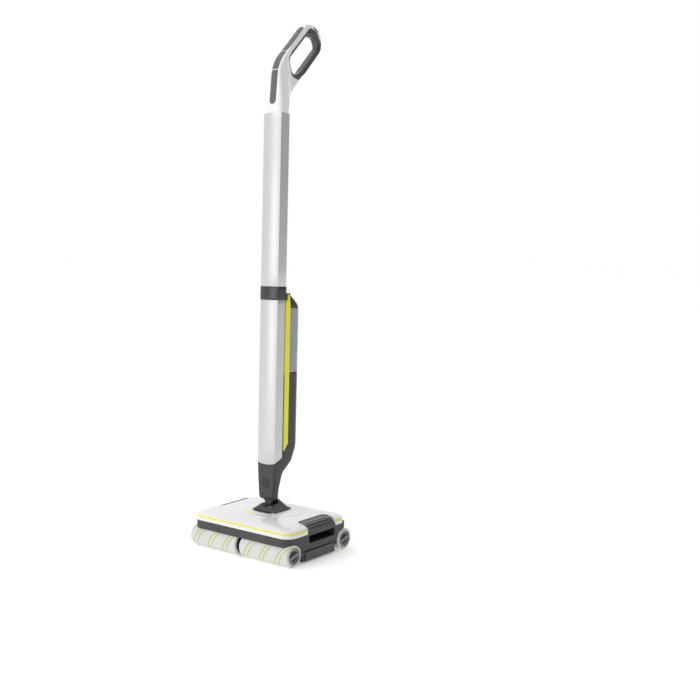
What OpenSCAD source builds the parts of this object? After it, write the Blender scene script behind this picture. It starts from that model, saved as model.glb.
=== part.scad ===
// Cordless wet dry floor scrubber: a four-roller cleaning head under a two-part stem with a loop handle.
// Millimetres, +Z up, X along the rollers, -Y the front. The origin is the middle of the overall box on the floor.

/* [Head] */
// Width across the roller end caps
head_w = 305; // [290:1:320]
// Depth over the front and rear rollers
head_d = 226; // [220:1:232]
// Radius of the roller pile
roller_r = 24.6; // [24:0.1:25]
// Width of the belt case between the left and right rollers
case_w = 10; // [9:0.5:11]
// Height of the top of the white cover
cover_top = 86.5; // [85:0.5:88]

/* [Stem] */
// Width of the tubes
tube_w = 55; // [53:0.5:57]
// Depth of the oval upper tube
tube_d = 36; // [35:0.5:37]
// Height of the lower edge of the collar along the stem
collar_s = 578; // [565:1:580]
// Height of the upper end of the tube along the stem
tube_top = 1004; // [980:1:1020]
// Half width of the rear housing and the fresh water tank
housing_hw = 28.2; // [28:0.1:29]
// Rearmost face of the rear housing and the tank
back_t = 70; // [68:0.5:72]
// Lean of the parked stem towards the rear, degrees
park_lean = 2.2; // [1.8:0.1:2.6]

/* [Handle] */
// Half width of the handle's front bar
bar_hw = 16; // [14:0.5:17]
// Half width of the dark grip loop
grip_hw = 11.5; // [11:0.5:13]
// Travel of the two buttons
button_travel = 1.5; // [1:0.1:2]

/* [Hidden] */
$fn = 64;
eps = 0.01;
// Rollers
row_y = head_d / 2 - roller_r;
pile_end = head_w / 2 - 1;
roller_start = case_w / 2 + 1;
core_r = 19;
core_wall = 3;
axle_r = 4;
cap_depth = 5.5;
roller_gap_r = roller_r + 1.2;
// Head frame
frame_top = 63.5;
deck_under = 58.5;
splash_z = 27;
splash_top = 30;
tray_y = 56;
beam_y = tray_y + 0.5;
rail_low = 18.5;
runner_z = 21.6;
runner_w = 2.5;
tray_low = 3;
tray_top = 25;
end_x = 112;
stripe_z = 72.2;
stripe_h = 2.6;
recess_x = 116;
recess_z = 41;
// Grips: lengthwise range, inner edge
grip_y0 = -42;
grip_y1 = 55;
grip_x = 118;
grip_gap = 0.8;
pin_x = 120.5;
pin_z = 80.5;
pin_r = 1.5;
pin_over = 3;
// Pivots: tilt axis (y, z) and swivel height
tilt_y = 5;
tilt_z = 76;
barrel_r = 29.5;
pocket_r = 31;
swing_r = 39.8;
swing_x = 28;
foot_hw = 37;
foot_top = 109;
tilt_axle_r = 5;
swivel_z = 104;
swivel_r = 3;
swivel_max = 30;
tongue_r = 8;
tongue_hw = 16;
tongue_top = 113;
tongue_front = -7.2;
tongue_rear = 13;
tongue_gap = 0.4;
pin_rear = 22;
fit = 0.05;
// Drive
motor_y = 36;
motor_z = 46;
motor_r = 12;
motor_x0 = 47;
motor_len = 48;
shaft_r = 2.5;
axle_pulley_r = 9;
motor_pulley_r = 5;
belt_gap = 0.3;
belt_t = 1.5;
// Stem frame: t backwards, s along the stem, pivoted about this point
stem_y = -3.3;
stem_z = 100;
neck_low = 113.5;
neck_hw = 22;
tube_front = tube_d / 2;
tube_back = 12.6;
arc_r = 90;
wall = 2;
seat_s = 409;
tank_split = 574;
collar_h = 31;
strip_in = 26.5;
// Handle outline, [t, s, corner radius]
handle_outline = [[-tube_front, tube_top, 0], [-8.4, 1118.4, 80], [88, 1225, 22], [138, 1223.5, 38],
    [145, 1174.8, 24], [51, 1071, 60], [31, 1046, 30], [19, 1020, 30], [tube_front, tube_top, 0]];
handle_opening = [[30, 1131.5, 15], [90, 1196, 13], [120, 1197, 14], [131, 1176, 14], [72, 1110, 30],
    [44, 1097, 12]];
handle_dark = [[22.5, 1131.5, 12], [99, 1214.5, 14], [120, 1211.5, 20], [139, 1186, 0], [170, 1186, 0],
    [170, 1090, 0], [76, 1090, 0], [56, 1088, 14], [36, 1093, 15]];
// Ends of the inlay and the two buttons on the front of the handle
inlay_pad = [[-16.2, 1025], [-10, 1101]];
power_pad = [[-9.1, 1104.6], [18.4, 1148]];
boost_pad = [[20.9, 1150.6], [79, 1214.4]];
inlay_hw = 9.5;
power_hw = 9.2;
boost_hw = 9;
pad_gap = 0.35;
pocket_depth = 4.5;
button_proud = 0.6;
// Shift that puts the origin under the middle of the overall box: the pile in front, the handle behind
rear_y = stem_y + max([for (p = rounded(handle_outline))
    p[0] * cos(park_lean) + (p[1] - stem_z) * sin(park_lean)]);
origin_y = (rear_y - head_d / 2) / 2;

function unit(v) = v / norm(v);
function corner(p, a, b, r) =
    let (u = unit(a - p), v = unit(b - p), half = acos(u * v) / 2,
        c = p + unit(u + v) * r / sin(half), from = p + u * r / tan(half) - c,
        to = p + v * r / tan(half) - c, a0 = atan2(from[1], from[0]), a1 = atan2(to[1], to[0]),
        sweep = (a1 - a0 + 540) % 360 - 180, n = max(2, ceil(abs(sweep) / 9)))
    [for (i = [0:n]) c + r * [cos(a0 + sweep * i / n), sin(a0 + sweep * i / n)]];
function flat(p) = [p[0], p[1]];
function rounded(pts) = let (k = len(pts))
    [for (i = [0:k - 1]) let (p = pts[i], a = pts[(i + k - 1) % k], b = pts[(i + 1) % k])
        each p[2] > 0 ? corner(flat(p), flat(a), flat(b), p[2]) : [flat(p)]];

module outline(pts) { polygon(rounded(pts)); }
module box(low, high) { translate(low) cube(high - low); }
// The outline's first axis becomes Y and its second Z, drawn out along X
module along_x(x0, x1) { translate([x0, 0, 0]) rotate([90, 0, 90]) linear_extrude(x1 - x0) children(); }
// The outline's first axis becomes X and its second Z, drawn out along Y
module along_y(y0, y1) { translate([0, y1, 0]) rotate([90, 0, 0]) linear_extrude(y1 - y0) children(); }
module rod_x(x0, x1, y, z, r) { translate([x0, y, z]) rotate([0, 90, 0]) cylinder(r = r, h = x1 - x0); }
module rod_y(y0, y1, x, z, r) { translate([x, y0, z]) rotate([-90, 0, 0]) cylinder(r = r, h = y1 - y0); }
module plan(x, y0, y1, r) { outline([[-x, y0, r], [x, y0, r], [x, y1, r], [-x, y1, r]]); }
module placed() { translate([0, -origin_y, 0]) children(); }
module in_stem() {
    placed() translate([0, stem_y, stem_z]) rotate([-park_lean, 0, 0]) translate([0, 0, -stem_z]) children();
}
module both() { for (side = [-1, 1]) scale([side, 1, 1]) children(); }

// A closed outline round two pulleys, in the Y-Z plane
function arc(c, r, a0, a1, n = 24) = [for (i = [0:n]) let (a = a0 + (a1 - a0) * i / n) c + r * [cos(a), sin(a)]];
function taper(c1, r1, c2, r2) =
    let (lead = atan2(c2[1] - c1[1], c2[0] - c1[0]), off = acos((r1 - r2) / norm(c2 - c1)))
    concat(arc(c1, r1, lead + off, lead + 360 - off), arc(c2, r2, lead - off, lead + off));
module drive_taper(row, grow) {
    polygon(taper([row * row_y, roller_r], axle_pulley_r + grow, [row * motor_y, motor_z], motor_pulley_r + grow));
}

// ---- Head ----
module cover_plan(grow) { plan(152 + grow, -106 - grow, 98 + grow, 28 + grow); }
module cover_form(in) {
    hull() {
        translate([0, 0, frame_top - in]) linear_extrude(11) cover_plan(-in);
        translate([0, 0, 78 - in]) linear_extrude(2) plan(146 - in, -99 + in, 91 - in, 26);
        translate([0, 0, cover_top - 1 - in]) linear_extrude(1) plan(112 - in, -68 + in, 68 - in, 40);
    }
}
module grip_space(gap) {
    both() box([grip_x - gap, grip_y0 - gap, frame_top - 2], [170, grip_y1 + gap, 100]);
}
module frame_slab(low, high) { translate([0, 0, low]) linear_extrude(high - low) plan(149, -105, 105, 22); }
module pivot_pocket() {
    rod_x(-foot_hw - 0.8, foot_hw + 0.8, tilt_y, tilt_z, pocket_r);
    rod_x(-swing_x, swing_x, tilt_y, tilt_z, swing_r);
}
module case_slot(row) {
    scale([1, row, 1]) box([-case_w / 2 - 0.4, 20, 0], [case_w / 2 + 0.4, 95, deck_under + 1]);
}
// The top deck that everything hangs from
module head_frame() {
    color([0.25, 0.26, 0.27]) placed() difference() {
        frame_slab(deck_under, frame_top);
        pivot_pocket();
        screw_places() translate([0, 0, deck_under - 1]) cylinder(r = 1.8, h = 10);
    }
}
// The hoods over the rollers, with a channel that each runner of the tray slides in
module frame_beams() {
    color([0.25, 0.26, 0.27]) placed() for (row = [-1, 1]) difference() {
        intersection() {
            frame_slab(rail_low, deck_under);
            scale([1, row, 1]) box([-200, beam_y, 0], [200, 120, 100]);
        }
        rod_x(-200, 200, row * row_y, roller_r, roller_gap_r);
        case_slot(row);
        box([-200, -tray_y - runner_w - 0.5, runner_z - 0.5], [200, tray_y + runner_w + 0.5, runner_z + 2.5]);
    }
}
// The end blocks over the tray, each with a recess for the fingers
module frame_ends() {
    color([0.25, 0.26, 0.27]) placed() both() difference() {
        box([end_x, -beam_y, splash_z], [149, beam_y, deck_under]);
        along_x(recess_x, 200)
            outline([[-35, recess_z, 6], [55, recess_z, 6], [55, deck_under + 1, 0], [-35, deck_under + 1, 0]]);
    }
}
module splash_plate() {
    color([0.25, 0.26, 0.27]) placed() difference() {
        box([-end_x, -beam_y, splash_z], [end_x, beam_y, splash_top]);
        for (row = [-1, 1]) case_slot(row);
    }
}
module screw_places() { for (x = [-95, 95], y = [-50, 50]) translate([x, y, 0]) children(); }
module cover_screws() {
    color([0.7, 0.7, 0.72]) placed() screw_places() {
        translate([0, 0, deck_under]) cylinder(r = 1.8, h = 12);
        translate([0, 0, deck_under - 2]) cylinder(r = 3.4, h = 2);
    }
}
module head_cover() {
    color([0.95, 0.95, 0.94]) placed() difference() {
        union() {
            difference() {
                cover_form(0);
                cover_form(3);
            }
            intersection() {
                screw_places() translate([0, 0, frame_top]) cylinder(r = 4.5, h = 30);
                cover_form(1);
            }
            intersection() {
                pin_ears();
                cover_form(1);
            }
        }
        screw_places() translate([0, 0, frame_top - eps]) cylinder(r = 1.8, h = 7 + eps);
        pivot_pocket();
        grip_space(grip_gap);
        grip_pin_rods(fit);
        pinstripe_band(-1.2, 2);
    }
}
// Ears inside the cover, past each end of a grip, that hold its hinge pin
module pin_ears() {
    both() {
        box([grip_x - 5, grip_y0 - grip_gap - pin_over, frame_top], [grip_x + 8, grip_y0 - grip_gap, 100]);
        box([grip_x - 5, grip_y1 + grip_gap, frame_top], [grip_x + 8, grip_y1 + grip_gap + pin_over, 100]);
    }
}
module grip_pin_rods(grow) {
    end = grip_gap + pin_over - 0.5;
    both() rod_y(grip_y0 - end, grip_y1 + end, pin_x, pin_z, pin_r + grow);
}
module grip_pins() { color([0.7, 0.7, 0.72]) placed() grip_pin_rods(0); }
module pinstripe_band(inner, outer) {
    translate([0, 0, stripe_z]) linear_extrude(stripe_h) difference() {
        cover_plan(outer);
        cover_plan(inner);
    }
}
module cover_pinstripe() {
    color([0.9, 0.9, 0.1]) placed() difference() {
        pinstripe_band(-1.2, 0.3);
        grip_space(2);
    }
}
module cover_accent() {
    color([0.85, 0.85, 0.12]) placed() translate([0, 0, cover_top]) linear_extrude(0.8) difference() {
        plan(40, -45, -20, 12);
        plan(37.5, -42.5, -10, 10);
        translate([-60, -30]) square([120, 40]);
    }
}
module pivot_brackets() {
    color([0.3, 0.3, 0.31]) placed() both() difference() {
        box([foot_hw + 1.5, tilt_y - 10, frame_top], [foot_hw + 9, tilt_y + 10, 83]);
        rod_x(0, 80, tilt_y, tilt_z, tilt_axle_r + fit);
    }
}
module side_grip(side) {
    groove_r = 0.8;
    placed() scale([side, 1, 1]) difference() {
        intersection() {
            along_y(grip_y0, grip_y1)
                outline([[grip_x, 83.5, 1], [136, 82, 8], [151.5, 66, 3], [151.5, 64.2, 0], [147, 64.2, 0],
                    [134, 76.5, 4], [grip_x, 77.5, 1]]);
            linear_extrude(200)
                outline([[grip_x, grip_y0, 12], [160, grip_y0, 0], [160, grip_y1, 0], [grip_x, grip_y1, 12]]);
        }
        for (x = [125, 130, 135]) rod_y(grip_y0 + 14, grip_y1 - 14, x, 83.6 - (x - grip_x) * 0.09, groove_r);
        rod_y(grip_y0 - 1, grip_y1 + 1, pin_x, pin_z, pin_r + fit);
    }
}
module side_grip_left() { color([0.27, 0.28, 0.29]) side_grip(-1); }
module side_grip_right() { color([0.27, 0.28, 0.29]) side_grip(1); }
module dirt_tray() {
    color([0.3, 0.32, 0.31]) placed() difference() {
        box([-148, -tray_y, tray_low], [148, tray_y, tray_top]);
        both() box([1, -tray_y + wall, tray_low + wall], [146, tray_y - wall, tray_top + 1]);
    }
}
module tray_runners() {
    color([0.3, 0.32, 0.31]) placed() for (row = [-1, 1]) scale([1, row, 1])
        box([-148, tray_y, runner_z], [148, tray_y + runner_w, runner_z + 2]);
}
module tray_side_panels() {
    color([0.3, 0.33, 0.31]) placed() both() along_x(148, 150.5)
        outline([[-46, tray_top - 0.5, 4], [46, tray_top - 0.5, 4], [52, tray_low + 1, 3], [-52, tray_low + 1, 3]]);
}
module wipers() {
    color([0.12, 0.12, 0.13]) placed() for (row = [-1, 1]) difference() {
        along_x(-146, 146) intersection() {
            difference() {
                translate([row * row_y, roller_r]) circle(roller_gap_r);
                translate([row * row_y, roller_r]) circle(roller_r + 0.4);
            }
            translate([row * row_y, roller_r]) polygon([[0, 0], [-row * 40, 22], [-row * 40, 55]]);
        }
        box([-case_w / 2 - 0.4, -200, 0], [case_w / 2 + 0.4, 200, 100]);
    }
}
module spray_bars() {
    bar_r = 2.3;
    color([0.55, 0.57, 0.6]) placed() for (row = [-1, 1]) rod_x(-111, 111, row * 53, 53.5, bar_r);
}

// ---- Rollers and drive ----
module roller_pile(row, side) {
    placed() scale([side, 1, 1]) difference() {
        rod_x(roller_start, pile_end, row * row_y, roller_r, roller_r);
        rod_x(roller_start - 1, pile_end + 1, row * row_y, roller_r, core_r);
    }
}
module roller_core(row, side) {
    placed() scale([side, 1, 1]) difference() {
        rod_x(roller_start, pile_end - cap_depth + 1, row * row_y, roller_r, core_r);
        rod_x(roller_start + 6, pile_end - cap_depth - 6, row * row_y, roller_r, core_r - core_wall);
        rod_x(roller_start - 1, pile_end, row * row_y, roller_r, axle_r);
    }
}
module roller_cap(row, side) {
    x0 = pile_end - cap_depth + 1;
    placed() scale([side, 1, 1]) translate([0, row * row_y, roller_r]) {
        difference() {
            rod_x(x0, head_w / 2, 0, 0, core_r);
            rod_x(x0 + 2, head_w, 0, 0, core_r - 3.5);
        }
        intersection() {
            rod_x(x0 + 1, head_w / 2 - 0.6, 0, 0, core_r - 3);
            rotate([-50 * side, 0, 0]) box([x0, -3, -20], [head_w / 2, 3, 20]);
        }
    }
}
module roller_pile_front_left() { color([0.93, 0.93, 0.9]) roller_pile(-1, -1); }
module roller_pile_front_right() { color([0.93, 0.93, 0.9]) roller_pile(-1, 1); }
module roller_pile_rear_left() { color([0.93, 0.93, 0.9]) roller_pile(1, -1); }
module roller_pile_rear_right() { color([0.93, 0.93, 0.9]) roller_pile(1, 1); }
module roller_core_front_left() { color([0.35, 0.36, 0.37]) roller_core(-1, -1); }
module roller_core_front_right() { color([0.35, 0.36, 0.37]) roller_core(-1, 1); }
module roller_core_rear_left() { color([0.35, 0.36, 0.37]) roller_core(1, -1); }
module roller_core_rear_right() { color([0.35, 0.36, 0.37]) roller_core(1, 1); }
module roller_cap_front_left() { color([0.55, 0.56, 0.56]) roller_cap(-1, -1); }
module roller_cap_front_right() { color([0.55, 0.56, 0.56]) roller_cap(-1, 1); }
module roller_cap_rear_left() { color([0.55, 0.56, 0.56]) roller_cap(1, -1); }
module roller_cap_rear_right() { color([0.55, 0.56, 0.56]) roller_cap(1, 1); }
module axle(row) {
    reach = pile_end - cap_depth + 1;
    placed() {
        rod_x(-reach, reach, row * row_y, roller_r, axle_r);
        rod_x(-3, 3, row * row_y, roller_r, axle_pulley_r);
    }
}
module axle_front() { color([0.6, 0.6, 0.62]) axle(-1); }
module axle_rear() { color([0.6, 0.6, 0.62]) axle(1); }
module belt_case(row) {
    hw = case_w / 2;
    placed() difference() {
        along_x(-hw, hw) drive_taper(row, 4.6);
        along_x(-hw + 1.4, hw - 1.4) drive_taper(row, 2.8);
        rod_x(-20, 20, row * row_y, roller_r, axle_r + fit);
        scale([row, 1, 1]) rod_x(3, 20, row * motor_y, motor_z, shaft_r + fit);
    }
}
module belt_case_front() { color([0.2, 0.21, 0.19]) belt_case(-1); }
module belt_case_rear() { color([0.2, 0.21, 0.19]) belt_case(1); }
module drive_belts() {
    color([0.08, 0.08, 0.08]) placed() for (row = [-1, 1]) difference() {
        along_x(-2.5, 2.5) drive_taper(row, belt_gap + belt_t);
        along_x(-3, 3) drive_taper(row, belt_gap);
    }
}
module drive_motors() {
    color([0.62, 0.63, 0.65]) placed() for (row = [-1, 1]) scale([row, 1, 1]) difference() {
        union() {
            rod_x(motor_x0, motor_x0 + motor_len, row * motor_y, motor_z, motor_r);
            rod_x(motor_x0 - 3, motor_x0, row * motor_y, motor_z, 6);
        }
        rod_x(motor_x0 - 4, motor_x0 + 12, row * motor_y, motor_z, shaft_r + fit);
    }
}
module motor_shaft(row) {
    placed() scale([row, 1, 1]) {
        rod_x(-3, motor_x0 + 11, row * motor_y, motor_z, shaft_r);
        rod_x(-3, 3, row * motor_y, motor_z, motor_pulley_r);
    }
}
module motor_shaft_front() { color([0.75, 0.75, 0.77]) motor_shaft(-1); }
module motor_shaft_rear() { color([0.75, 0.75, 0.77]) motor_shaft(1); }

// ---- Pivots ----
// The tongue under the neck, and the trough that it swings in
module tongue_trough() {
    r = tongue_r + 0.5;
    corner = [tongue_hw + 0.5, tongue_top - swivel_z];
    lead = atan2(corner[1], corner[0]) - swivel_max;
    reach = norm(corner);
    low = lead - acos(r / reach);
    side = [reach * cos(lead), swivel_z + reach * sin(lead)];
    along_y(-60, tongue_rear + tongue_gap)
        polygon(concat([[-side[0], side[1]], [-side[0], 140], [side[0], 140], side],
            arc([0, swivel_z], r, low, -180 - low)));
}
module tilt_foot() {
    y0 = tilt_y - 27;
    y1 = tilt_y + 27;
    color([0.3, 0.3, 0.31]) placed() difference() {
        union() {
            intersection() {
                rod_x(-foot_hw, foot_hw, tilt_y, tilt_z, barrel_r);
                box([-60, -60, 0], [60, 60, 88]);
            }
            hull() {
                box([-foot_hw, y0, 86], [foot_hw, y1, 88]);
                box([-9, y0 + 9, foot_top - 1], [9, y1 - 9, foot_top]);
            }
        }
        tongue_trough();
        rod_y(tongue_front + 3, tilt_y + 30, 0, swivel_z, swivel_r);
        rod_x(-60, 60, tilt_y, tilt_z, tilt_axle_r);
    }
}
module tilt_axle() {
    color([0.7, 0.7, 0.72]) placed() rod_x(-foot_hw - 8.5, foot_hw + 8.5, tilt_y, tilt_z, tilt_axle_r);
}
module swivel_pin() {
    color([0.7, 0.7, 0.72]) placed() rod_y(tongue_front + 3, pin_rear, 0, swivel_z, swivel_r);
}
module knuckle() {
    color([0.33, 0.34, 0.35]) placed() difference() {
        along_y(tongue_front, tongue_rear)
            polygon(concat([[-tongue_hw, tongue_top], [tongue_hw, tongue_top]],
                arc([0, swivel_z], tongue_r, 0, -180)));
        rod_y(tongue_front + 3 - fit, 60, 0, swivel_z, swivel_r + fit);
    }
}

// ---- Stem: X, t (backwards) and s (up the stem) ----
module oval(grow, rear) {
    hw = tube_w / 2 + grow;
    front = tube_front + grow;
    intersection() {
        outline([[-hw, -front, 7], [hw, -front, 7], [hw, rear, 3], [-hw, rear, 3]]);
        translate([0, arc_r - tube_front]) circle(r = arc_r + grow, $fn = 180);
        translate([0, tube_front - arc_r]) circle(r = arc_r + grow, $fn = 180);
    }
}
module rear_plan(in) {
    hw = housing_hw - in;
    outline([[-hw, -30, 0], [hw, -30, 0], [hw, back_t + 1 - in, 21], [-hw, back_t + 1 - in, 21]]);
}
module strip_outline(grow) {
    outline([[13.4 - grow, collar_s - 1.5, 0], [21.5, collar_s - 1.5, 0], [21.5, collar_s + 14, 0],
        [29 + grow, collar_s - 4, 10], [29 + grow, 244, 8], [13.4 - grow, 224 - grow, 0]]);
}
module stem_housing() {
    color([0.26, 0.27, 0.28]) in_stem() difference() {
        intersection() {
            along_x(-40, 40) outline([[-8.5, neck_low, 3], [-15.2, 198.8, 0], [tube_back + 0.1, 211.5, 0],
                [tube_back + 0.1, seat_s, 0], [back_t, seat_s, 0], [back_t, 236, 40], [56, 201, 22],
                [25, 174, 25], [12, 140, 40], [10, neck_low, 3]]);
            linear_extrude(600) rear_plan(0);
            along_y(-60, 100) outline([[-neck_hw, neck_low, 6], [neck_hw, neck_low, 6], [housing_hw, 196, 30],
                [housing_hw, 500, 0], [-housing_hw, 500, 0], [-housing_hw, 196, 30]]);
        }
        translate([0, 0, 226]) linear_extrude(300) plan(22, 16, 62, 14);
        both() along_x(strip_in, 40) strip_outline(0);
        box([-10.2, -30, 143.5], [10.2, -8.6, 164.7]);
        rod_y(60, 90, 0, 300, 6);
    }
}
module display_lens() {
    color([0.12, 0.13, 0.15]) in_stem() intersection() {
        box([-10.2, -30, 143.5], [10.2, -8.6, 164.7]);
        along_x(-20, 20) polygon([[-8.5, neck_low], [-15.2, 198.8], [0, 198.8], [0, neck_low]]);
    }
}
module charging_socket() {
    color([0.1, 0.1, 0.1]) in_stem() difference() {
        rod_y(60, back_t, 0, 300, 6);
        rod_y(62, 90, 0, 300, 2.75);
    }
}
module battery_cells() {
    cell_r = 9.2;
    color([0.2, 0.4, 0.6]) in_stem() for (x = [-10, 10], t = [27, 47], s = [230, 296])
        translate([x, t, s]) cylinder(r = cell_r, h = 65);
}
module control_board() {
    color([0.1, 0.35, 0.15]) in_stem() box([-15, 57.6, 230], [15, 59.4, 395]);
}
module water_pump() {
    color([0.2, 0.2, 0.22]) in_stem() {
        translate([0, 34, 366]) cylinder(r = 13, h = 30);
        rod_y(16, 34, 0, 388, 3);
    }
}
module tank_seat() {
    color([0.2, 0.21, 0.22]) in_stem() translate([0, 0, seat_s - 6]) linear_extrude(6) plan(22, 16, 62, 14);
}
module lower_tube() {
    color([0.78, 0.79, 0.8]) in_stem() difference() {
        translate([0, 0, 190]) linear_extrude(collar_s - 190) oval(0, tube_back);
        translate([0, 0, 180]) linear_extrude(500) oval(-wall, tube_back - wall);
        along_x(-60, 60) polygon([[-60, 100], [60, 100], [60, 233.6], [-30, 192.3]]);
    }
}
module tube_joiner() {
    color([0.6, 0.61, 0.62]) in_stem() translate([0, 0, collar_s - 33]) linear_extrude(97) difference() {
        oval(-wall, tube_back - wall);
        oval(-2 * wall, tube_back - 2 * wall);
    }
}
module collar() {
    color([0.13, 0.13, 0.14]) in_stem() translate([0, 0, collar_s]) linear_extrude(collar_h) difference() {
        oval(1.2, 30);
        oval(-wall, tube_back - wall);
    }
}
module upper_tube() {
    s0 = collar_s + collar_h;
    color([0.78, 0.79, 0.8]) in_stem() translate([0, 0, s0]) linear_extrude(tube_top - s0) difference() {
        oval(0, 30);
        oval(-wall, 30 - wall);
    }
}
module stem_strips() {
    color([0.85, 0.84, 0.12]) in_stem() both() along_x(strip_in, housing_hw + 0.3) strip_outline(-0.05);
}

// ---- Fresh water tank ----
module tank_plan(in) {
    hw = housing_hw - in;
    neck = strip_in - 0.4 - in;
    outline([[-neck, 14 + in, 0], [neck, 14 + in, 0], [neck, 29.6 + in, 0], [hw, 29.6 + in, 0],
        [hw, back_t - 0.5 - in, 20 - in], [-hw, back_t - 0.5 - in, 20 - in], [-hw, 29.6 + in, 0],
        [-neck, 29.6 + in, 0]]);
}
module tank_side(in) {
    outline([[14 + in, seat_s + 0.6 + in, 0], [back_t - in, seat_s + 0.6 + in, 3], [back_t - in, 563, 26],
        [52, 584 - in, 22], [21.8 + in, 596 - in, 0], [21.8 + in, collar_s - 2 - in, 0],
        [14 + in, collar_s - 2 - in, 0]]);
}
module tank_form(in) {
    intersection() {
        linear_extrude(700) tank_plan(in);
        along_x(-40, 40) tank_side(in);
    }
}
module tank_shell() {
    color([0.3, 0.32, 0.34, 0.6]) in_stem() difference() {
        tank_form(0);
        tank_form(2.4);
        box([-60, 0, tank_split - 14], [60, 100, 700]);
    }
}
module tank_cap() {
    color([0.2, 0.2, 0.21]) in_stem() intersection() {
        tank_form(0);
        box([-60, 0, tank_split - 14], [60, 100, 700]);
    }
}

// ---- Handle ----
module handle_width() {
    along_y(-60, 260) outline([[-tube_w / 2, tube_top, 0], [tube_w / 2, tube_top, 0],
        [tube_w / 2 - 2, tube_top + 26, 40], [bar_hw, tube_top + 98, 60], [bar_hw, 1300, 0],
        [-bar_hw, 1300, 0], [-bar_hw, tube_top + 98, 60], [2 - tube_w / 2, tube_top + 26, 40]]);
}
// The handle's front line between two of its points
function front_line(low, high) = concat([low], [for (p = rounded(handle_outline))
    if (p[0] < high[0] && p[1] > low[1] + 1 && p[1] < high[1] - 1) p], [high]);
// A pad that follows the front of the handle, square to the line between its ends, shrunk all round by a gap
module face_pad(pad, hw, out, in, gap = 0) {
    d = unit(pad[1] - pad[0]);
    n = [-d[1], d[0]];
    line = front_line(pad[0] + d * gap, pad[1] - d * gap);
    last = len(line) - 1;
    along_x(gap - hw, hw - gap)
        polygon(concat([for (p = line) p + n * out], [for (i = [0:last]) line[last - i] - n * in]));
}
module handle_shell() {
    color([0.94, 0.94, 0.94]) in_stem() difference() {
        intersection() {
            along_x(-40, 40) difference() {
                outline(handle_outline);
                outline(handle_dark);
            }
            handle_width();
        }
        face_pad(inlay_pad, inlay_hw, 10, 2.2);
        face_pad(power_pad, power_hw, 10, pocket_depth);
        face_pad(boost_pad, boost_hw, 10, pocket_depth);
    }
}
module handle_grip() {
    color([0.27, 0.28, 0.29]) in_stem() along_x(-grip_hw, grip_hw) difference() {
        intersection() {
            outline(handle_outline);
            outline(handle_dark);
        }
        outline(handle_opening);
    }
}
module handle_inlay() { color([0.3, 0.3, 0.32]) in_stem() face_pad(inlay_pad, inlay_hw, 0.4, 2.2); }
module button(pad, hw) {
    in_stem() face_pad(pad, hw, button_proud, pocket_depth - button_travel - pad_gap, pad_gap);
}
module power_button() { color([0.3, 0.3, 0.32]) button(power_pad, power_hw); }
module boost_button() { color([0.3, 0.3, 0.32]) button(boost_pad, boost_hw); }

head_frame();
frame_beams();
frame_ends();
splash_plate();
head_cover();
cover_pinstripe();
cover_accent();
cover_screws();
pivot_brackets();
grip_pins();
side_grip_left();
side_grip_right();
dirt_tray();
tray_runners();
tray_side_panels();
wipers();
spray_bars();
roller_pile_front_left();
roller_pile_front_right();
roller_pile_rear_left();
roller_pile_rear_right();
roller_core_front_left();
roller_core_front_right();
roller_core_rear_left();
roller_core_rear_right();
roller_cap_front_left();
roller_cap_front_right();
roller_cap_rear_left();
roller_cap_rear_right();
axle_front();
axle_rear();
belt_case_front();
belt_case_rear();
drive_belts();
drive_motors();
motor_shaft_front();
motor_shaft_rear();
tilt_foot();
tilt_axle();
swivel_pin();
knuckle();
stem_housing();
display_lens();
charging_socket();
battery_cells();
control_board();
water_pump();
tank_seat();
lower_tube();
tube_joiner();
collar();
upper_tube();
stem_strips();
tank_shell();
tank_cap();
handle_shell();
handle_grip();
handle_inlay();
power_button();
boost_button();
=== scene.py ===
"""Cordless wet dry floor scrubber: the looks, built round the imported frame. Metres, +Z up, -Y the front."""

import math

import bmesh
import bpy
import numpy as np
from mathutils import Matrix, Vector, noise
from mathutils.geometry import tessellate_polygon


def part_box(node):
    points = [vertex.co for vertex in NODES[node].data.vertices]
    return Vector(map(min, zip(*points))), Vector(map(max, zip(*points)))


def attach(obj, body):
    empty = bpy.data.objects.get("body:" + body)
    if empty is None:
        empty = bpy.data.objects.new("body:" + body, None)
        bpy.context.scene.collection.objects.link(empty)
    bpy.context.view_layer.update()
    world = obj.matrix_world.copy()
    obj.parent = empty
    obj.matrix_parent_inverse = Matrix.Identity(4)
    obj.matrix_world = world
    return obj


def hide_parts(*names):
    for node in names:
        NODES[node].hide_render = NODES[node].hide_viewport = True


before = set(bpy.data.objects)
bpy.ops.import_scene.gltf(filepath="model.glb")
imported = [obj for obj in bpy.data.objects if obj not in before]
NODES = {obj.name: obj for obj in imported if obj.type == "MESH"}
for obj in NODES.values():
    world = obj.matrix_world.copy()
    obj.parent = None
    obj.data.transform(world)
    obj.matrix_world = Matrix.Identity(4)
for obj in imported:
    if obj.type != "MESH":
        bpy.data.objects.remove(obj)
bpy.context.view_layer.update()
MM = 0.001

# ---- Sizes from the frame. Shapes are drawn in millimetres and placed by the HEAD or the STEM matrix. ----
front_low, front_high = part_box("roller_pile_front_right")
rear_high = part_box("roller_pile_rear_right")[1]
HEAD_Y = (front_low.y + rear_high.y) / 2
ROLLER_R = (front_high.z - front_low.z) / 2 / MM
ROW_Y = (rear_high.y - front_low.y) / 2 / MM - ROLLER_R
PILE_X0, PILE_X1 = front_low.x / MM, front_high.x / MM
LEAN = math.radians(2.2)
STEM_Y, STEM_Z = -3.3, 100.0
HEAD = Matrix.Translation((0, HEAD_Y, 0)) @ Matrix.Scale(MM, 4)
STEM = (
    HEAD
    @ Matrix.Translation((0, STEM_Y, STEM_Z))
    @ Matrix.Rotation(-LEAN, 4, "X")
    @ Matrix.Translation((0, 0, -STEM_Z))
)

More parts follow.
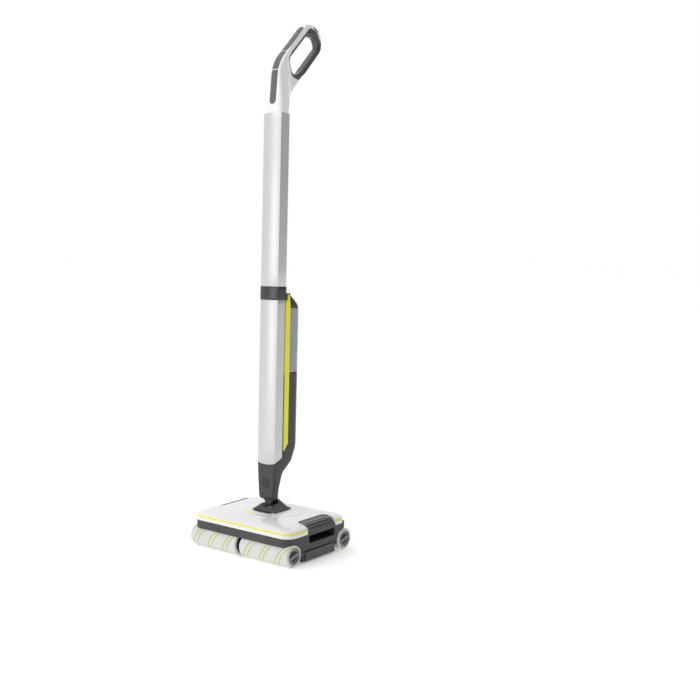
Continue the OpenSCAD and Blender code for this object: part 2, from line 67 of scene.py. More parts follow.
TUBE_HW, TUBE_FRONT, TUBE_BACK, TUBE_EDGE, BULGE_R = 27.5, 18.0, 12.6, 0.35, 90.0
TUBE_FOOT, COLLAR_S, COLLAR_END, TUBE_TOP = 200.0, 578.0, 609.0, 1004.0
SEAT_S, CAP_S = 409.0, 560.0
HOUSING_HW, HOUSING_FRONT, BACK_T, NECK_HW, NECK_LOW = 28.2, 12.7, 70.0, 23.0, 113.5
COVER_HW, COVER_FRONT, COVER_REAR, COVER_R = 152.0, -106.0, 98.0, 28.0
COVER_LOW, COVER_EDGE, COVER_RISE = 63.5, 75.0, 11.6
STRIPE_Z0, STRIPE_Z1 = 71.9, 75.1
TILT_Y, TILT_Z, BARREL_R, FOOT_HW, FOOT_HD = 5.0, 76.0, 29.5, 37.0, 27.0
SWIVEL_Z, SWIVEL_MAX, TONGUE_R, TONGUE_HW, TONGUE_TOP = 104.0, 30, 8.0, 16.0, 113.0
TONGUE_FRONT, TONGUE_REAR = -7.2, 13.0
POCKET_R, SWING_R, SWING_X = 31.0, 39.8, 28.0
GRIP_Y0, GRIP_Y1, GRIP_X, GRIP_KNEE_X, GRIP_R, GRIP_GAP = -42.0, 55.0, 118.0, 133.0, 12.0, 1.0
BEYOND = 175.0  # further out than any part that a cutter has to clear
SHARP = 32  # faces that meet at more degrees than this keep a sharp edge

# Side outlines as [t, s, corner radius]: t runs backwards from the stem's axis, s up along it
HANDLE = [
    [-TUBE_FRONT, 985, 0], [-TUBE_FRONT, TUBE_TOP, 200], [-8.4, 1118.4, 80], [88, 1225, 22],
    [138, 1223.5, 38], [145, 1174.8, 24], [51, 1071, 70], [31, 1046, 45], [19, 1020, 45],
    [TUBE_FRONT, TUBE_TOP, 60], [TUBE_FRONT, 985, 0],
]
OPENING = [[30, 1131.5, 15], [90, 1196, 13], [120, 1197, 14], [131, 1176, 14], [72, 1110, 30], [44, 1097, 12]]
DARK = [
    [20, 1133.5, 12], [97, 1216.3, 14], [120, 1212.5, 20], [139, 1186, 12], [BEYOND, 1180, 0],
    [BEYOND, 1092, 0], [76, 1092, 0], [56, 1089, 14], [36, 1093, 15],
]
HOUSING_BACK = [
    [10, 100, 0], [12, 140, 40], [25, 174, 25], [56, 201, 22], [BACK_T, 236, 40], [BACK_T, 420, 0],
]
TANK_BACK = [[BACK_T, 400, 0], [BACK_T, 563, 26], [52, 584, 22], [21.8, 596, 0]]

# Straight-line graphs as (s, value) pairs
NECK_FRONT = (
    (NECK_LOW, -10.5), (122, -13.2), (196.5, -15.2), (198.8, -15.2),
    (211.5, HOUSING_FRONT), (500, HOUSING_FRONT),
)
NECK_SIDE = (
    (NECK_LOW, NECK_HW), (150, 25.6), (180, 27.1), (200, 27.75), (215, HOUSING_HW - 0.15), (500, HOUSING_HW),
)
HANDLE_SIDE = (
    (985, 27.4), (TUBE_TOP, 27.4), (1016, 26.9), (1030, 25.6),
    (1050, 22.8), (1075, 19.2), (1096, 17.0), (1112, 16.0),
)


# ---- Rules and outlines ----
def unit(v):
    return v / np.linalg.norm(v)


def clamp(value):
    """The value, held between 0 and 1."""
    return min(1.0, max(0.0, value))


def ease(u):
    """A smooth step from 0 to 1."""
    return u * u * (3 - 2 * u)


def round_off(share):
    """How far a quarter-round end is drawn in: 1 at its tip, where share is 0, and 0 from share 1 on."""
    return 1 - math.sqrt(max(0.0, 1 - (1 - min(1.0, share)) ** 2))


def graph(pairs, s):
    """The value at s on the straight lines through (s, value) pairs."""
    places, values = zip(*pairs)
    return np.interp(s, places, values)


def turns(count):
    """Angles spread evenly round a circle."""
    return [2 * math.pi * i / count for i in range(count)]


def corner(p, a, b, r, step=6):
    """The arc that rounds corner p between its neighbours a and b."""
    u, v = unit(a - p), unit(b - p)
    half = math.acos(float(np.clip(u @ v, -1, 1))) / 2
    centre = p + unit(u + v) * r / math.sin(half)
    start, end = p + u * r / math.tan(half) - centre, p + v * r / math.tan(half) - centre
    a0, a1 = math.atan2(start[1], start[0]), math.atan2(end[1], end[0])
    sweep = (a1 - a0 + 3 * math.pi) % (2 * math.pi) - math.pi
    n = max(2, math.ceil(abs(math.degrees(sweep)) / step))
    angles = [a0 + sweep * i / n for i in range(n + 1)]
    return [centre + r * np.array([math.cos(a), math.sin(a)]) for a in angles]


def rounded(points, closed=True, step=6):
    """A list of points from [u, v, radius] corners, with each round corner as an arc."""
    flat = [np.array(p[:2], float) for p in points]
    out = []
    for i, p in enumerate(points):
        inner = closed or 0 < i < len(points) - 1
        if p[2] > 0 and inner:
            out += corner(flat[i], flat[i - 1], flat[(i + 1) % len(flat)], p[2], step)
        else:
            out.append(flat[i])
    return np.array(out)


def dense(points, step):
    """The closed outline with extra points so that no edge is longer than step."""
    out = []
    for a, b in zip(points, np.roll(points, -1, axis=0)):
        n = max(1, math.ceil(np.linalg.norm(b - a) / step))
        out += [a + (b - a) * i / n for i in range(n)]
    return np.array(out)


def area(points):
    """The signed area of a closed outline."""
    x, y = points[:, 0], points[:, 1]
    return 0.5 * float(np.sum(x * np.roll(y, -1) - np.roll(x, -1) * y))


def inset(points, d):
    """The closed outline moved inwards by d at every point."""
    before = points - np.roll(points, 1, axis=0)
    after = np.roll(points, -1, axis=0) - points
    before /= np.linalg.norm(before, axis=1)[:, None] + 1e-12
    after /= np.linalg.norm(after, axis=1)[:, None] + 1e-12
    normal = before + after
    normal /= np.linalg.norm(normal, axis=1)[:, None] + 1e-12
    scale = 1 / np.clip(np.sum(normal * after, axis=1), 0.5, 1)
    inward = np.stack([-normal[:, 1], normal[:, 0]], axis=1) * (1 if area(points) > 0 else -1)
    return points + inward * (d * scale)[:, None]


def shares(points):
    """How far round the closed outline each point lies, from 0 to 1."""
    steps = np.linalg.norm(np.roll(points, -1, axis=0) - points, axis=1)
    return np.r_[0, np.cumsum(steps)[:-1]] / steps.sum()


def resample(ring, share):
    """Points on the closed ring at the given shares of its length."""
    loop = np.vstack([ring, ring[:1]])
    along = np.r_[0, np.cumsum(np.linalg.norm(np.diff(loop, axis=0), axis=1))]
    return np.stack([np.interp(share * along[-1], along, loop[:, k]) for k in (0, 1)], axis=1)


def even(ring, count):
    """The closed ring with a set number of points, evenly spread."""
    return resample(ring, np.linspace(0, 1, count, endpoint=False))


def rect(hw, y0, y1, r, step):
    """A rectangle with round corners, centred on x = 0."""
    return rounded([[-hw, y0, r], [hw, y0, r], [hw, y1, r], [-hw, y1, r]], step=step)


def side_at(points, s):
    """t where a side outline, sorted by s, has the height s."""
    line = rounded(points, closed=False, step=4)
    return float(np.interp(s, line[:, 1], line[:, 0]))


def edge_profile(half, r, crown, steps, spans):
    """(x, inset) pairs across a bar from -half to half: round edges of radius r and a crowned face."""
    flat = half - r
    quarter = np.linspace(0, math.pi / 2, steps + 1)
    left = [(-half + r * (1 - math.cos(a)), r * (1 - math.sin(a))) for a in quarter]
    mid = [(-flat + 2 * flat * i / spans, 0.0) for i in range(1, spans)]
    right = [(-x, d) for x, d in reversed(left)]
    return [(x, d + crown * (x / half) ** 2) for x, d in left + mid + right]


# ---- Meshes ----
def smooth(mesh, angle):
    """Smooth shading, with edges sharper than the angle kept."""
    mesh.polygons.foreach_set("use_smooth", np.ones(len(mesh.polygons), bool))
    mesh.set_sharp_from_angle(angle=math.radians(angle))
    mesh.update()


def edit(mesh, *steps):
    """Runs the steps on the mesh, then turns every face outwards."""
    bm = bmesh.new()
    bm.from_mesh(mesh)
    for step in steps:
        step(bm)
    bmesh.ops.recalc_face_normals(bm, faces=bm.faces)
    bm.to_mesh(mesh)
    bm.free()


def merge(bm):
    bmesh.ops.remove_doubles(bm, verts=bm.verts, dist=1e-6)


def make(name, verts, faces, place, angle=SHARP):
    """A new object from points in millimetres and faces, placed and smoothed."""
    mesh = bpy.data.meshes.new(name)
    mesh.from_pydata([tuple(v) for v in verts], [], faces)
    mesh.transform(place)
    edit(mesh, merge)
    smooth(mesh, angle)
    obj = bpy.data.objects.new(name, mesh)
    bpy.context.scene.collection.objects.link(obj)
    return obj


def loft_faces(rings, count, start=0):
    """The quads between neighbouring closed rings."""
    faces = []
    for k in range(rings - 1):
        a, b = start + k * count, start + (k + 1) * count
        for i in range(count):
            j = (i + 1) % count
            faces.append((a + i, a + j, b + j, b + i))
    return faces


def torus_faces(rings, count):
    """The quads of a loft whose last ring joins its first."""
    last = (rings - 1) * count
    closing = [(last + i, last + (i + 1) % count, (i + 1) % count, i) for i in range(count)]
    return loft_faces(rings, count) + closing


def loft(name, rings, place, angle=SHARP):
    """A skin through closed rings of equal length, with its ends closed."""
    count = len(rings[0])
    verts = [tuple(p) for ring in rings for p in ring]
    faces = loft_faces(len(rings), count)
    faces.append(tuple(range(count))[::-1])
    faces.append(tuple(range(len(verts) - count, len(verts))))
    return make(name, verts, faces, place, angle)


def bar(name, outer, profile, place, hole=None, axis="x"):
    """A thick plate drawn out along an axis from an outline, with round edges and, if given, a hole."""
    verts, faces = [], []
    ends = ([], [])
    for sign, points in ((1, outer), (-1, hole)):
        if points is None:
            continue
        start = len(verts)
        for x, d in profile:
            for u, v in inset(points, sign * d):
                verts.append({"x": (x, u, v), "y": (u, x, v), "z": (u, v, x)}[axis])
        faces += loft_faces(len(profile), len(points), start)
        for end, first in zip(ends, (start, len(verts) - len(points))):
            end.append(list(range(first, first + len(points))))
    for end in ends:
        index = [i for ring in end for i in ring]
        fill = tessellate_polygon([[Vector(verts[i]) for i in ring] for ring in end])
        faces += [tuple(index[i] for i in tri) for tri in fill]
    return make(name, verts, faces, place)


def bisect(bm, point, normal, place, **options):
    """Cuts the mesh along a plane that is given in local millimetres."""
    bmesh.ops.bisect_plane(
        bm,
        geom=bm.verts[:] + bm.edges[:] + bm.faces[:],
        plane_co=place @ Vector(point),
        plane_no=place.to_3x3().normalized() @ Vector(normal),
        dist=1e-7,
        **options,
    )


def slice_at(obj, planes, place):
    """Adds edges to the mesh where planes (point, normal) cross it."""

    def cut(bm):
        for point, normal in planes:
            bisect(bm, point, normal, place)

    edit(obj.data, cut)


def trim(obj, point, normal, place):
    """Removes what lies behind a plane and closes the hole."""

    def cut(bm):
        bisect(bm, point, normal, place, clear_inner=True)
        edges = [e for e in bm.edges if len(e.link_faces) == 1]
        bmesh.ops.holes_fill(bm, edges=edges, sides=0)

    edit(obj.data, cut)


def bend(obj, place, move):
    """Moves every point by a rule that works in local millimetres."""
    back = place.inverted()
    for v in obj.data.vertices:
        v.co = place @ Vector(move(*(back @ v.co)))


def combine(obj, other, operation, angle=SHARP):
    """A boolean whose result replaces the mesh, after which the other object is removed."""
    mod = obj.modifiers.new("bool", "BOOLEAN")
    mod.object, mod.operation, mod.solver = other, operation, "EXACT"
    bpy.context.view_layer.update()
    done = bpy.data.meshes.new_from_object(obj.evaluated_get(bpy.context.evaluated_depsgraph_get()))
    obj.modifiers.clear()
    obj.data = done
    smooth(done, angle)
    bpy.data.objects.remove(other)


def block(name, low, high, place):
    """A plain box, used only to cut other pieces."""
    x, y, z = zip(low, high)
    verts = [(x[i], y[j], z[k]) for i in (0, 1) for j in (0, 1) for k in (0, 1)]
    faces = [(0, 1, 3, 2), (4, 6, 7, 5), (0, 4, 5, 1), (2, 3, 7, 6), (0, 2, 6, 4), (1, 5, 7, 3)]
    return make(name, verts, faces, place)


def cutter(name, outline, lo, hi, place, axis="z"):
    """A straight prism, used to cut or to split other pieces."""
    return bar(name, outline, [(lo, 0.0), (hi, 0.0)], place, axis=axis)


def revolve_x(name, profile, centre, place, count):
    """A closed (x, radius) profile turned round an axis along X through centre (y, z)."""
    verts = []
    for a in turns(count):
        verts += [(x, centre[0] + r * math.cos(a), centre[1] + r * math.sin(a)) for x, r in profile]
    return make(name, verts, torus_faces(count, len(profile)), place)


def soften(obj, width):
    """A small bevel on the sharp edges, as a modifier."""
    mod = obj.modifiers.new("soft edge", "BEVEL")
    mod.width, mod.segments, mod.limit_method = width * MM, 2, "ANGLE"
    mod.angle_limit = math.radians(35)
    mod.harden_normals = True


def settle(obj, body, slot, material, *replaced):
    """Rides a finished piece on its body, with its material, in place of its CAD nodes. The slot argument is
    not used.
    """
    obj.data.materials.clear()
    obj.data.materials.append(material)
    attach(obj, body)
    if replaced:
        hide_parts(*replaced)


# ---- Materials ----
class Look:
    """A principled material under construction, with short ways to add texture nodes."""

    def __init__(self, name, rough, metallic=0.0):
        self.mat = bpy.data.materials.new(name)
        self.mat.use_nodes = True
        self.tree = self.mat.node_tree
        self.shader = self.tree.nodes["Principled BSDF"]
        self.shader.inputs["Metallic"].default_value = metallic
        self.shader.inputs["Roughness"].default_value = rough
        self.coord = self.node("ShaderNodeTexCoord").outputs["Object"]

    def node(self, kind, **settings):
        new = self.tree.nodes.new(kind)
        for key, value in settings.items():
            setattr(new, key, value)
        return new

    def link(self, out, into):
        self.tree.links.new(out, into)
        return into

    def set(self, **values):
        for key, value in values.items():
            self.shader.inputs[key.replace("_", " ")].default_value = value
        return self

    def noise(self, scale, detail=3.0, rough=0.55, stretch=None):
        source = self.coord
        if stretch:
            mapping = self.node("ShaderNodeMapping")
            mapping.inputs["Scale"].default_value = stretch
            self.link(source, mapping.inputs["Vector"])
            source = mapping.outputs["Vector"]
        tex = self.node("ShaderNodeTexNoise")
        tex.inputs["Scale"].default_value = scale
        tex.inputs["Detail"].default_value = detail
        tex.inputs["Roughness"].default_value = rough
        self.link(source, tex.inputs["Vector"])
        return tex.outputs["Fac"]

    def spread(self, fac, low, high, from_low=0.3, from_high=0.7):
        """The value, stretched from one range to another."""
        rng = self.node("ShaderNodeMapRange")
        ends = {"From Min": from_low, "From Max": from_high, "To Min": low, "To Max": high}
        for key, value in ends.items():
            rng.inputs[key].default_value = value
        self.link(fac, rng.inputs["Value"])
        return rng.outputs["Result"]

    def mix(self, fac, a, b):
        """A colour between a and b. Each is a colour or a socket."""
        new = self.node("ShaderNodeMix", data_type="RGBA")
        colours, result = new.inputs[6:8], new.outputs[2]
        self.link(fac, new.inputs["Factor"])
        for socket, value in zip(colours, (a, b)):
            if isinstance(value, bpy.types.NodeSocket):
                self.link(value, socket)
            else:
                socket.default_value = (*value, 1.0)
        return result

    def colour(self, socket):
        self.link(socket, self.shader.inputs["Base Color"])
        return self

    def rough(self, socket):
        self.link(socket, self.shader.inputs["Roughness"])
        return self

    def bump(self, height, strength, distance):
        new = self.node("ShaderNodeBump")
        new.inputs["Strength"].default_value = strength
        new.inputs["Distance"].default_value = distance
        self.link(height, new.inputs["Height"])
        if self.shader.inputs["Normal"].is_linked:
            self.link(self.shader.inputs["Normal"].links[0].from_socket, new.inputs["Normal"])
        self.link(new.outputs["Normal"], self.shader.inputs["Normal"])
        return self


def shade(colour, k):
    return tuple(min(1.0, c * k) for c in colour)


def moulded(name, colour, rough, grain=1400, depth=0.00003, strength=0.25, vary=0.06, coat=0.0):
    """Moulded plastic: a fine grain, soft cloudiness in the colour and handling marks in the gloss."""
    look = Look(name, rough)
    clouds = look.noise(28, 4)
    look.colour(look.mix(look.spread(clouds, 0, 1), shade(colour, 1 - vary), shade(colour, 1 + vary)))
    look.rough(look.spread(look.noise(60, 5, 0.65), rough * 0.86, rough * 1.16))
    look.bump(look.noise(grain, 2), strength, depth)
    if coat:
        look.set(Coat_Weight=coat, Coat_Roughness=0.06)
    return look.mat


def silver():
    """Satin silver paint with fine metal flake and a few soft handling streaks."""
    look = Look("satin silver paint", 0.34, 0.62)
    flake = look.noise(5200, 1)
    base = look.mix(look.spread(flake, 0, 1, 0.25, 0.75), (0.51, 0.51, 0.515), (0.67, 0.67, 0.675))
    look.colour(base)
    look.rough(look.spread(look.noise(9, 4, 0.6, (4, 4, 0.6)), 0.29, 0.40))
    look.bump(look.noise(2600, 2), 0.12, 0.00002)
    look.set(Coat_Weight=0.25, Coat_Roughness=0.18)
    return look.mat


def pile():
    """Dense short microfibre pile, off-white with dyed helical yarns, matted here and there."""
    look = Look("microfibre pile", 0.95)
    yarn = look.node("ShaderNodeAttribute", attribute_name="yarn").outputs["Fac"]
    tuft = look.noise(950, 4, 0.7)
    cloud = look.noise(55, 3)
    white = look.mix(look.spread(tuft, 0, 1), (0.62, 0.62, 0.605), (0.88, 0.88, 0.86))
    white = look.mix(look.spread(cloud, 0, 0.35), white, (0.66, 0.66, 0.64))
    dyed = look.mix(look.spread(tuft, 0, 1), (0.42, 0.42, 0.03), (0.72, 0.70, 0.08))
    look.colour(look.mix(yarn, white, dyed))
    look.bump(tuft, 0.9, 0.0009)
    look.bump(look.noise(2600, 3, 0.7), 0.6, 0.0003)
    look.set(Sheen_Weight=0.5, Sheen_Roughness=0.5, Specular_IOR_Level=0.2)
    return look.mat


def smoked():
    """Smoky clear plastic of the water tank, faintly uneven inside."""
    look = Look("smoky tank plastic", 0.12)
    tint = look.mix(look.spread(look.noise(30, 3), 0, 1), (0.50, 0.52, 0.53), (0.60, 0.62, 0.63))
    look.colour(tint)
    look.rough(look.spread(look.noise(70, 4), 0.09, 0.2))
    look.bump(look.noise(120, 2), 0.08, 0.0004)
    look.set(Transmission_Weight=0.55, IOR=1.46, Specular_IOR_Level=0.5)
    return look.mat


def ribbed(name, colour, rough, pitch):
    """Soft-touch plastic with fine ribs that run lengthwise, their crests painted lighter and their grooves
    darker as painted highlight and shade.
    """
    look = Look(name, rough)
    wave = look.node("ShaderNodeTexWave", wave_type="BANDS", bands_direction="X", wave_profile="SIN")
    wave.inputs["Scale"].default_value = math.pi / 10 / pitch
    look.link(look.coord, wave.inputs["Vector"])
    rib_relief_and_shade = wave.outputs["Fac"]
    # The colour follows the ribs: painted highlight on the crests, painted shade in the grooves.
    look.colour(look.mix(look.spread(rib_relief_and_shade, 0, 1, 0.1, 0.9), shade(colour, 0.6), shade(colour, 1.3)))
    look.rough(look.spread(look.noise(90, 4), rough * 0.9, rough * 1.15))
    look.bump(rib_relief_and_shade, 0.7, 0.0005)
    look.bump(look.noise(1500, 2), 0.2, 0.00003)
    return look.mat


def ground_steel():
    """Turned steel: fine scratches round the axle and a faint stain."""
    look = Look("ground steel", 0.3, 1.0)
    look.colour(look.mix(look.spread(look.noise(40, 3), 0, 1), (0.46, 0.46, 0.47), (0.62, 0.62, 0.63)))
    look.rough(look.spread(look.noise(900, 3, 0.6, (8, 1, 1)), 0.22, 0.42))
    look.bump(look.noise(1800, 2, 0.6, (6, 1, 1)), 0.2, 0.00003)
    return look.mat


WHITE = moulded(
    "gloss white plastic", (0.84, 0.84, 0.83), 0.2,
    grain=900, depth=0.00002, strength=0.08, vary=0.012, coat=0.35,
)
DARK_PLASTIC = moulded("dark moulded plastic", (0.042, 0.044, 0.047), 0.44, vary=0.12)
HOUSING_PLASTIC = moulded("housing plastic", (0.034, 0.035, 0.038), 0.34, grain=1700, strength=0.2, vary=0.1)
GRIP_PLASTIC = moulded(
    "soft grip plastic", (0.043, 0.044, 0.048), 0.36,
    grain=1100, depth=0.00005, strength=0.4, vary=0.1, coat=0.4,
)
TRAY_PLASTIC = moulded("tray plastic", (0.062, 0.07, 0.066), 0.4, vary=0.1)
COLLAR_PLASTIC = moulded(
    "collar plastic", (0.02, 0.02, 0.021), 0.24, grain=1800, strength=0.1, vary=0.1, coat=0.2
)
YELLOW = moulded("yellow trim plastic", (0.9, 0.85, 0.02), 0.34, grain=1500, strength=0.12, vary=0.04)
CAP_PLASTIC = moulded("grey cap plastic", (0.24, 0.25, 0.25), 0.42, vary=0.06)
RECESS_PLASTIC = moulded("recess plastic", (0.035, 0.042, 0.046), 0.5, vary=0.1)
LENS = moulded("dark lens", (0.012, 0.012, 0.013), 0.38, grain=400, depth=0.00001, strength=0.04, vary=0.2)
RUBBER = moulded(
    "black rubber", (0.018, 0.018, 0.018), 0.75, grain=700, depth=0.00006, strength=0.5, vary=0.15
)
INLAY = ribbed("ribbed inlay", (0.13, 0.13, 0.135), 0.5, pitch=0.0021)
SILVER = silver()
PILE = pile()
SMOKED = smoked()
STEEL = ground_steel()
CELL = moulded("cell wrap", (0.03, 0.11, 0.27), 0.3, vary=0.1)
BOARD = moulded("circuit board", (0.01, 0.09, 0.03), 0.4, vary=0.2)


# ---- Head ----
DOME_REACH, DOME_FALL, DOME_ROUND = 80, 4, 1 / 1.7
OVAL_HW, OVAL_HD, OVAL_RISE, OVAL_EDGE = 86, 52, 1.4, 0.04
GROOVES, GROOVE_DEPTH, GROOVE_HW = (15.5, 24.5, 32.0), 2.2, 1.35


def cover_height(x, y, d):
    """Height of the cover's top at inset d: a dome with a raised oval round the pivot."""
    u = min(1.0, d / DOME_REACH)
    z = COVER_EDGE + COVER_RISE * (1 - (1 - u) ** DOME_FALL) ** DOME_ROUND
    e = math.hypot(x / OVAL_HW, (y - TILT_Y) / OVAL_HD)
    return z + OVAL_RISE * ease(clamp((1 - e) / OVAL_EDGE + 0.5))


def cover_plan(grow):
    """The cover's outline from above, grown all round."""
    return rect(COVER_HW + grow, COVER_FRONT - grow, COVER_REAR + grow, COVER_R + grow, 4)


def pivot_cutter(r, hw):
    """A round bar on the tilt axis, which clears the cover for the foot and its swing."""
    ring = np.array([[TILT_Y + r * math.cos(a), TILT_Z + r * math.sin(a)] for a in turns(72)])
    return cutter("pocket", ring, -hw, hw, HEAD, axis="x")


def head_cover():
    """The white cover: a skirt with a groove for the yellow line, then the domed top."""
    plan = dense(cover_plan(0), 3.0)
    share = shares(plan)
    skirt = (
        (4, COVER_LOW), (0.7, COVER_LOW), (0.15, 63.7), (0, 64.3), (0, STRIPE_Z0 - 0.4),
        (0.25, STRIPE_Z0 - 0.2), (0.7, STRIPE_Z0 - 0.1), (0.7, STRIPE_Z1 + 0.1),
    )
    rings = [[(x, y, z) for x, y in inset(plan, d)] for d, z in skirt]
    for d in [0.15] + [94 * (i / 58) ** 1.7 for i in range(3, 59)]:
        hw, y0, y1 = COVER_HW - d, COVER_FRONT + d, COVER_REAR - d
        r = min(COVER_R + 0.35 * d, hw - 0.5, (y1 - y0) / 2 - 0.5)
        ring = resample(rect(hw, y0, y1, r, 4), share)
        rings.append([(x, y, cover_height(x, y, d)) for x, y in ring])
    obj = loft("cover_shell", rings, HEAD, angle=40)
    combine(obj, pivot_cutter(POCKET_R, FOOT_HW + 0.8), "DIFFERENCE")
    combine(obj, pivot_cutter(SWING_R, SWING_X), "DIFFERENCE", angle=40)
    y0, y1 = GRIP_Y0 - GRIP_GAP, GRIP_Y1 + GRIP_GAP
    for side in (-1, 1):
        near, far = side * (GRIP_X - 1.2), side * BEYOND
        notch = rounded([[near, y0, 13], [far, y0, 0], [far, y1, 0], [near, y1, 13]])
        combine(obj, cutter("notch", notch, 50, 110, HEAD), "DIFFERENCE", angle=40)
    settle(obj, "head", "white_plastic", WHITE, "head_cover")


def pinstripe():
    """The yellow line let into the cover's edge, broken by the side grips."""
    outer, inner = dense(cover_plan(0.3), 6), dense(cover_plan(-1.4), 6)
    profile = [(STRIPE_Z0, 0.35), (STRIPE_Z0 + 0.25, 0.0), (STRIPE_Z1 - 0.25, 0.0), (STRIPE_Z1, 0.35)]
    band = bar("pinstripe_band", outer, profile, HEAD, hole=inner, axis="z")
    for side in (-1, 1):
        low, high = sorted((side * (GRIP_X - 2), side * BEYOND))
        gap = block("gap", (low, GRIP_Y0 - GRIP_GAP, 60), (high, GRIP_Y1 + GRIP_GAP, 90), HEAD)
        combine(band, gap, "DIFFERENCE")
    settle(band, "head", "yellow_trim", YELLOW, "cover_pinstripe")


def grip_profile():
    """The lever's section: its top from the inner edge, the knee, the finger lip and the underside."""
    count, top_z, fall = 40, 83.4, 0.03
    top = [(GRIP_X + (GRIP_KNEE_X - GRIP_X) * i / count, top_z - fall * i) for i in range(count + 1)]
    lip = [
        [GRIP_KNEE_X, top_z - fall * count, 0], [138.5, 81.6, 7], [151.3, 66.6, 3], [151.3, 64.3, 0.7],
        [147.6, 64.3, 0.7], [134.5, 77.2, 5], [GRIP_X, 78.2, 0],
    ]
    rest = rounded(lip, closed=False)[1:]
    return dense(np.array(top + [tuple(p) for p in rest]), 0.5)


def grip_grooves(profile):
    """How far each point of the section moves inwards for the grooves on its outer face."""
    steps = np.roll(profile, -1, axis=0) - profile
    lengths = np.linalg.norm(steps, axis=1)
    run = np.cumsum(lengths) - lengths
    inward = np.stack([steps[:, 1], -steps[:, 0]], axis=1) / lengths[:, None]
    outer = np.arange(len(profile)) < int(np.argmax(profile[:, 0]))
    depth = GROOVE_DEPTH * outer * sum(np.exp(-(((run - c) / GROOVE_HW) ** 4)) for c in GROOVES)
    return inward * depth[:, None]


def side_grip(side, name):
    """A lever with a curved inner edge, three lengthwise grooves and a lip that the fingers pull."""
    profile = grip_profile()
    grooves = grip_grooves(profile)
    centre = profile.mean(axis=0)
    ends = (0.0, 0.35, 1.2)
    stations = [GRIP_Y0 + d for d in ends]
    stations += list(np.linspace(GRIP_Y0 + 2.5, GRIP_Y1 - 2.5, 70))
    stations += [GRIP_Y1 - d for d in reversed(ends)]
    rings = []
    for y in stations:
        end = min(y - GRIP_Y0, GRIP_Y1 - y)
        shrink = 0.9 * round_off(end / 1.2)
        into = max(0.0, GRIP_R - end)
        edge = GRIP_X + GRIP_R - math.sqrt(GRIP_R ** 2 - into ** 2)
        fade = clamp((end - 9) / 6)
        ring = []
        for x, z in profile + grooves * fade:
            spot = np.array([max(x, edge), z])
            spot += unit(centre - spot) * shrink
            ring.append((side * spot[0], y, spot[1]))
        rings.append(ring)
    obj = loft(name + "_lever", rings, HEAD, angle=40)
    settle(obj, "grip_left" if side < 0 else "grip_right", "grip_plastic", GRIP_PLASTIC, name)


def head_accent():
    """Slim accent on the cover in front of the pivot: a yellow line to the left, and to the right a grey
    strip that is painted shadow.
    """
    for name, x0, x1, y, width, slot, mat, nodes in (
        ("accent_yellow", -40.0, 6.0, -48.0, 3.2, "yellow_trim", YELLOW, ["cover_accent"]),
        # The grey strip is painted shadow, a dark sheet laid on the white cover beside the yellow line.
        ("accent_painted_shadow", 2.0, 42.0, -51.5, 2.6, "dark_plastic", CAP_PLASTIC, []),
    ):
        rings = []
        for u in np.linspace(-1, 1, 49):
            x = (x0 + x1) / 2 + (x1 - x0) / 2 * u
            mid = y + 13 * abs(x / 42) ** 3.2
            half = width / 2 * math.sqrt(max(0.02, 1 - abs(u) ** 6))
            ring = []
            for a in turns(12):
                py = mid + half * math.cos(a)
                d = min(COVER_HW - abs(x), py - COVER_FRONT)
                ring.append((x, py, cover_height(x, py, d) + 0.1 + 0.55 * math.sin(a)))
            rings.append(ring)
        obj = loft(name, rings, HEAD, angle=50)
        settle(obj, "head", slot, mat, *nodes)


head_cover()
pinstripe()
side_grip(-1, "side_grip_left")
side_grip(1, "side_grip_right")
head_accent()


# ---- Rollers ----
PILE_BORE, PILE_END_R, PILE_R = 18.9, 19.2, ROLLER_R - 0.3
YARN_PITCH, YARN_PAIR, YARN_HALF, YARN_SOFT = 47.0, 12.0, 1.65, 0.35
YARN_LEAD = 2 * YARN_PITCH
CAP_BORE, CAP_R, CAP_LIP, DISH_R = 12.0, 19.0, 15.6, 15.2
PULL_HW, PULL_HL, PULL_LIFT, PULL_TURN = 3.1, 15.6, 0.5, 72


def row_body(row):
    return "front_rollers" if row < 0 else "rear_rollers"


def yarn_share(x, a, first):
    """1 on a dyed yarn and 0 off it, at the place x along the roller and the angle a round it."""
    phase = (x - first + YARN_LEAD * a / (2 * math.pi)) % YARN_PITCH
    gap = min(abs(phase - c) for c in (0.0, YARN_PAIR, YARN_PITCH))
    return clamp((YARN_HALF + YARN_SOFT - gap) / (2 * YARN_SOFT))


def pile_sleeve(row, side, name):
    """A pile tube whose surface is tufted, with pairs of dyed yarns laid in a helix."""
    angles = turns(150)
    first = 27.0 if side > 0 else 6.5
    ends = ((0.0, PILE_END_R), (0.5, ROLLER_R - 2.0), (1.6, ROLLER_R - 0.6))
    stations = [(PILE_X0 + d, r) for d, r in ends]
    stations += [(x, PILE_R) for x in np.linspace(PILE_X0 + 2.8, PILE_X1 - 2.8, 175)]
    stations += [(PILE_X1 - d, r) for d, r in reversed(ends)]
    stations += [(PILE_X1, PILE_BORE), (PILE_X0, PILE_BORE)]
    verts, dyed = [], []
    for x, plain in stations:
        for a in angles:
            r, line = plain, 0.0
            if plain > PILE_END_R:
                spot = Vector((x * 0.35, 9 * math.cos(a) + 40 * row, 9 * math.sin(a) + 90 * side))
                tuft = noise.noise(spot * 1.3) * 0.42 + noise.noise(spot * 4.1) * 0.28
                line = yarn_share(x * side, a, first)
                r = min(ROLLER_R, plain + tuft - 0.18 * line)
            verts.append((side * x, row * ROW_Y + r * math.cos(a), ROLLER_R + r * math.sin(a)))
            dyed.append(line)
    faces = torus_faces(len(stations), len(angles))
    obj = make(name.replace("roller_pile", "pile_sleeve"), verts, faces, HEAD, angle=80)
    obj.data.attributes.new("yarn", "FLOAT", "POINT").data.foreach_set("value", np.array(dyed, np.float32))
    settle(obj, row_body(row), "pile", PILE, name)


